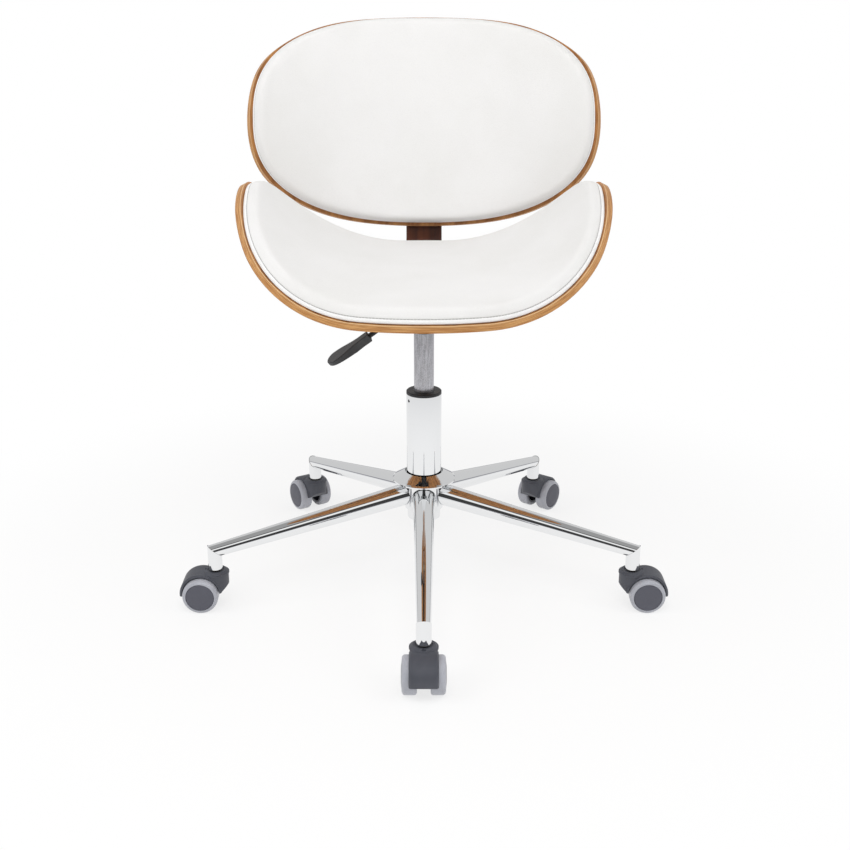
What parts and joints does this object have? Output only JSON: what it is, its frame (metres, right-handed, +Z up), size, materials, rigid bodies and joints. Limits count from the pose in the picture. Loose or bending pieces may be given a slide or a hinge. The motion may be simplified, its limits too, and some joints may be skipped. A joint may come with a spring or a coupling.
{
  "type": "swivel office chair",
  "caption": "Padded plywood office chair: winged bucket seat and curved back joined by a bentwood spine, on a gas lift, chrome star base and twin-wheel casters.",
  "frame": {"origin": "on the floor under the column's axis", "axes": "+Z up, -Y the way the sitter faces, +X to the sitter's left; length unit metre"},
  "size_m": [0.6854, 0.6579, 0.7858],
  "materials": {
    "pad_leather": "off-white coated upholstery with a fine grain and a stitched edge seam",
    "plywood": "clear-lacquered bent plywood, plies showing at the edge",
    "chrome": "polished chrome plate",
    "zinc_steel": "zinc-plated steel, slightly yellow",
    "grey_steel": "satin grey",
    "black_steel": "black powder coat",
    "black_plastic": "moulded, satin",
    "buffer_rubber": "matt",
    "hood_plastic": "moulded charcoal, fine grain",
    "tread": "blue-grey soft tread"
  },
  "bodies": {
    "base": {"base_hub": "chrome", "hub_cover": "chrome", "base_arm_front": "chrome", "base_arm_front_right": "chrome", "base_arm_rear_right": "chrome", "base_arm_rear_left": "chrome", "base_arm_front_left": "chrome", "caster_sockets": "chrome", "caster_stems": "zinc_steel", "stem_grip_rings": "zinc_steel", "column_tube": "chrome", "column_bush": "black_plastic", "bearing_lower_washer": "zinc_steel", "bearing_balls": "zinc_steel"},
    "rod": {"bearing_upper_washer": "zinc_steel", "piston_rod": "zinc_steel", "rod_clip": "zinc_steel", "rod_buffer": "buffer_rubber"},
    "seat": {"gas_cylinder": "grey_steel", "seat_plate": "black_steel", "plate_bolts": "zinc_steel", "seat_shell": "plywood", "seat_pad": "pad_leather", "spine": "plywood", "spine_screws": "zinc_steel", "back_shell": "plywood", "back_pad": "pad_leather"},
    "lever": {"lever_rod": "black_steel", "lever_grip": "black_plastic"},
    "valve": {"valve_button": "zinc_steel"},
    "front_caster": {"front_caster_hood": "hood_plastic", "front_caster_axle": "zinc_steel"},
    "front_left_wheel": {"front_caster_left_hub": "hood_plastic", "front_caster_left_tyre": "tread"},
    "front_right_wheel": {"front_caster_right_hub": "hood_plastic", "front_caster_right_tyre": "tread"},
    "front_right_caster": {"front_right_caster_hood": "hood_plastic", "front_right_caster_axle": "zinc_steel"},
    "front_right_left_wheel": {"front_right_caster_left_hub": "hood_plastic", "front_right_caster_left_tyre": "tread"},
    "front_right_right_wheel": {"front_right_caster_right_hub": "hood_plastic", "front_right_caster_right_tyre": "tread"},
    "rear_right_caster": {"rear_right_caster_hood": "hood_plastic", "rear_right_caster_axle": "zinc_steel"},
    "rear_right_left_wheel": {"rear_right_caster_left_hub": "hood_plastic", "rear_right_caster_left_tyre": "tread"},
    "rear_right_right_wheel": {"rear_right_caster_right_hub": "hood_plastic", "rear_right_caster_right_tyre": "tread"},
    "rear_left_caster": {"rear_left_caster_hood": "hood_plastic", "rear_left_caster_axle": "zinc_steel"},
    "rear_left_left_wheel": {"rear_left_caster_left_hub": "hood_plastic", "rear_left_caster_left_tyre": "tread"},
    "rear_left_right_wheel": {"rear_left_caster_right_hub": "hood_plastic", "rear_left_caster_right_tyre": "tread"},
    "front_left_caster": {"front_left_caster_hood": "hood_plastic", "front_left_caster_axle": "zinc_steel"},
    "front_left_left_wheel": {"front_left_caster_left_hub": "hood_plastic", "front_left_caster_left_tyre": "tread"},
    "front_left_right_wheel": {"front_left_caster_right_hub": "hood_plastic", "front_left_caster_right_tyre": "tread"}
  },
  "joints": [
    {"name": "seat_swivel", "type": "hinge", "parent": "base", "child": "rod", "pos_m": [0, 0, 0.1151], "axis": [0, 0, 1], "continuous": true},
    {"name": "seat_lift", "type": "slide", "parent": "rod", "child": "seat", "axis": [0, 0, 1], "range_m": [-0.02, 0.08]},
    {"name": "height_lever", "type": "hinge", "parent": "seat", "child": "lever", "pos_m": [-0.028, 0, 0.40516], "axis": [0, 1, 0], "range_deg": [0, 8], "stiffness_Nm_per_rad": 2, "springref_deg": -5.73},
    {"name": "valve_press", "type": "slide", "parent": "seat", "child": "valve", "axis": [0, 0, 1], "range_m": [-0.004, 0]},
    {"name": "front_caster_swivel", "type": "hinge", "parent": "base", "child": "front_caster", "pos_m": [0, -0.308, 0.05], "axis": [0, 0, 1], "continuous": true},
    {"name": "front_left_wheel_spin", "type": "hinge", "parent": "front_caster", "child": "front_left_wheel", "pos_m": [0, -0.328, 0.025], "axis": [1, 0, 0], "continuous": true},
    {"name": "front_right_wheel_spin", "type": "hinge", "parent": "front_caster", "child": "front_right_wheel", "pos_m": [0, -0.328, 0.025], "axis": [1, 0, 0], "continuous": true},
    {"name": "front_right_caster_swivel", "type": "hinge", "parent": "base", "child": "front_right_caster", "pos_m": [0.29292, -0.09518, 0.05], "axis": [0, 0, 1], "continuous": true},
    {"name": "front_right_left_wheel_spin", "type": "hinge", "parent": "front_right_caster", "child": "front_right_left_wheel", "pos_m": [0.31293, -0.09518, 0.025], "axis": [0, 1, 0], "continuous": true},
    {"name": "front_right_right_wheel_spin", "type": "hinge", "parent": "front_right_caster", "child": "front_right_right_wheel", "pos_m": [0.31293, -0.09518, 0.025], "axis": [0, 1, 0], "continuous": true},
    {"name": "rear_right_caster_swivel", "type": "hinge", "parent": "base", "child": "rear_right_caster", "pos_m": [0.18104, 0.24918, 0.05], "axis": [0, 0, 1], "continuous": true},
    {"name": "rear_right_left_wheel_spin", "type": "hinge", "parent": "rear_right_caster", "child": "rear_right_left_wheel", "pos_m": [0.19335, 0.26494, 0.025], "axis": [-0.788, 0.6157, 0], "continuous": true},
    {"name": "rear_right_right_wheel_spin", "type": "hinge", "parent": "rear_right_caster", "child": "rear_right_right_wheel", "pos_m": [0.19335, 0.26494, 0.025], "axis": [-0.788, 0.6157, 0], "continuous": true},
    {"name": "rear_left_caster_swivel", "type": "hinge", "parent": "base", "child": "rear_left_caster", "pos_m": [-0.18104, 0.24918, 0.05], "axis": [0, 0, 1], "continuous": true},
    {"name": "rear_left_left_wheel_spin", "type": "hinge", "parent": "rear_left_caster", "child": "rear_left_left_wheel", "pos_m": [-0.19193, 0.26595, 0.025], "axis": [-0.8387, -0.5446, 0], "continuous": true},
    {"name": "rear_left_right_wheel_spin", "type": "hinge", "parent": "rear_left_caster", "child": "rear_left_right_wheel", "pos_m": [-0.19193, 0.26595, 0.025], "axis": [-0.8387, -0.5446, 0], "continuous": true},
    {"name": "front_left_caster_swivel", "type": "hinge", "parent": "base", "child": "front_left_caster", "pos_m": [-0.29292, -0.09518, 0.05], "axis": [0, 0, 1], "continuous": true},
    {"name": "front_left_left_wheel_spin", "type": "hinge", "parent": "front_left_caster", "child": "front_left_left_wheel", "pos_m": [-0.31293, -0.09518, 0.025], "axis": [0, -1, 0], "continuous": true},
    {"name": "front_left_right_wheel_spin", "type": "hinge", "parent": "front_left_caster", "child": "front_left_right_wheel", "pos_m": [-0.31293, -0.09518, 0.025], "axis": [0, -1, 0], "continuous": true}
  ],
  "couplings": [
    {"joint": "valve_press", "follows": "height_lever", "m_per_rad": -0.028}
  ]
}
